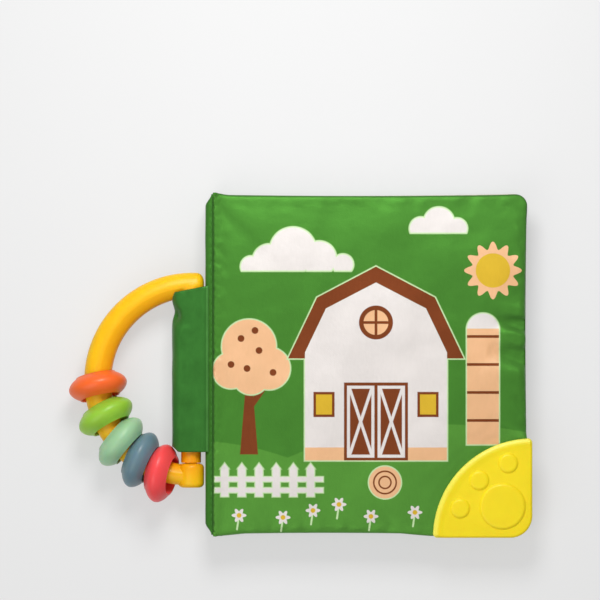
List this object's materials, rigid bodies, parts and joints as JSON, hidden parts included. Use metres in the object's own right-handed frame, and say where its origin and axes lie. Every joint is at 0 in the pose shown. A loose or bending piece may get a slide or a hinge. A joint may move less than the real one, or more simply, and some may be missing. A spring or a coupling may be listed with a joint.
{
  "type": "cloth book",
  "caption": "Padded cloth book with crinkle leaves, a bead ring handle in a cloth tab at the spine, and a moulded teether on one corner of the cover.",
  "frame": {"origin": "on the face of the back cover that the book rests on, level with the middle of the page", "axes": "+X across the page away from the spine, +Y up the page, +Z out of the front cover"},
  "size_m": [0.232, 0.1728, 0.0302],
  "materials": {
    "cover_cloth": "woven polyester, printed, slight sheen",
    "tab_cloth": "woven polyester, slight sheen",
    "page_cloth": "woven polyester, matte",
    "wadding": "loose polyester wadding",
    "film": "thin crinkle film",
    "ring_plastic": "satin moulded",
    "bead_orange": "satin moulded",
    "bead_lime": "satin moulded",
    "bead_mint": "satin moulded",
    "bead_blue": "satin moulded",
    "bead_coral": "satin moulded",
    "teether_rubber": "soft matte moulded"
  },
  "bodies": {
    "book": {"back_cover_lining": "page_cloth", "back_cover_cloth": "cover_cloth", "back_cover_wadding": "wadding", "back_cover_film": "film", "spine_strip": "cover_cloth", "sleeve_hem": "tab_cloth"},
    "leaf_2": {"leaf_2_front_cloth": "page_cloth", "leaf_2_back_cloth": "page_cloth", "leaf_2_wadding": "wadding", "leaf_2_film": "film"},
    "leaf_1": {"leaf_1_front_cloth": "page_cloth", "leaf_1_back_cloth": "page_cloth", "leaf_1_wadding": "wadding", "leaf_1_film": "film"},
    "front_cover": {"front_cover_cloth": "cover_cloth", "front_cover_lining": "page_cloth", "front_cover_wadding": "wadding", "front_cover_film": "film", "corner_teether": "teether_rubber"},
    "ring": {"ring_arc": "ring_plastic", "ring_bar": "ring_plastic", "sleeve": "tab_cloth"},
    "bead_coral": {"bead_coral": "bead_coral"},
    "bead_blue": {"bead_blue": "bead_blue"},
    "bead_mint": {"bead_mint": "bead_mint"},
    "bead_lime": {"bead_lime": "bead_lime"},
    "bead_orange": {"bead_orange": "bead_orange"}
  },
  "joints": [
    {"name": "leaf_2_turn", "type": "hinge", "parent": "book", "child": "leaf_2", "pos_m": [-0.07675, 0, 0.0214], "axis": [0, -1, 0], "range_deg": [0, 42]},
    {"name": "leaf_1_turn", "type": "hinge", "parent": "leaf_2", "child": "leaf_1", "pos_m": [-0.07675, 0, 0.0214], "axis": [0, -1, 0], "range_deg": [0, 42]},
    {"name": "cover_open", "type": "hinge", "parent": "leaf_1", "child": "front_cover", "pos_m": [-0.07675, 0, 0.0214], "axis": [0, 1, 0], "range_deg": [-146, 0]},
    {"name": "ring_swing", "type": "hinge", "parent": "book", "child": "ring", "pos_m": [-0.0814, 0, 0.0228], "axis": [0, 1, 0], "range_deg": [0, 85]},
    {"name": "bead_coral_slide", "type": "hinge", "parent": "ring", "child": "bead_coral", "pos_m": [-0.0875, -0.00825, 0.01475], "axis": [0, 0, -1], "range_deg": [0, 13]},
    {"name": "bead_blue_slide", "type": "hinge", "parent": "bead_coral", "child": "bead_blue", "pos_m": [-0.0875, -0.00825, 0.01475], "axis": [0, 0, -1], "range_deg": [0, 13]},
    {"name": "bead_mint_slide", "type": "hinge", "parent": "bead_blue", "child": "bead_mint", "pos_m": [-0.0875, -0.00825, 0.01475], "axis": [0, 0, -1], "range_deg": [0, 13]},
    {"name": "bead_lime_slide", "type": "hinge", "parent": "bead_mint", "child": "bead_lime", "pos_m": [-0.0875, -0.00825, 0.01475], "axis": [0, 0, -1], "range_deg": [0, 13]},
    {"name": "bead_orange_slide", "type": "hinge", "parent": "bead_lime", "child": "bead_orange", "pos_m": [-0.0875, -0.00825, 0.01475], "axis": [0, 0, -1], "range_deg": [0, 13]}
  ]
}
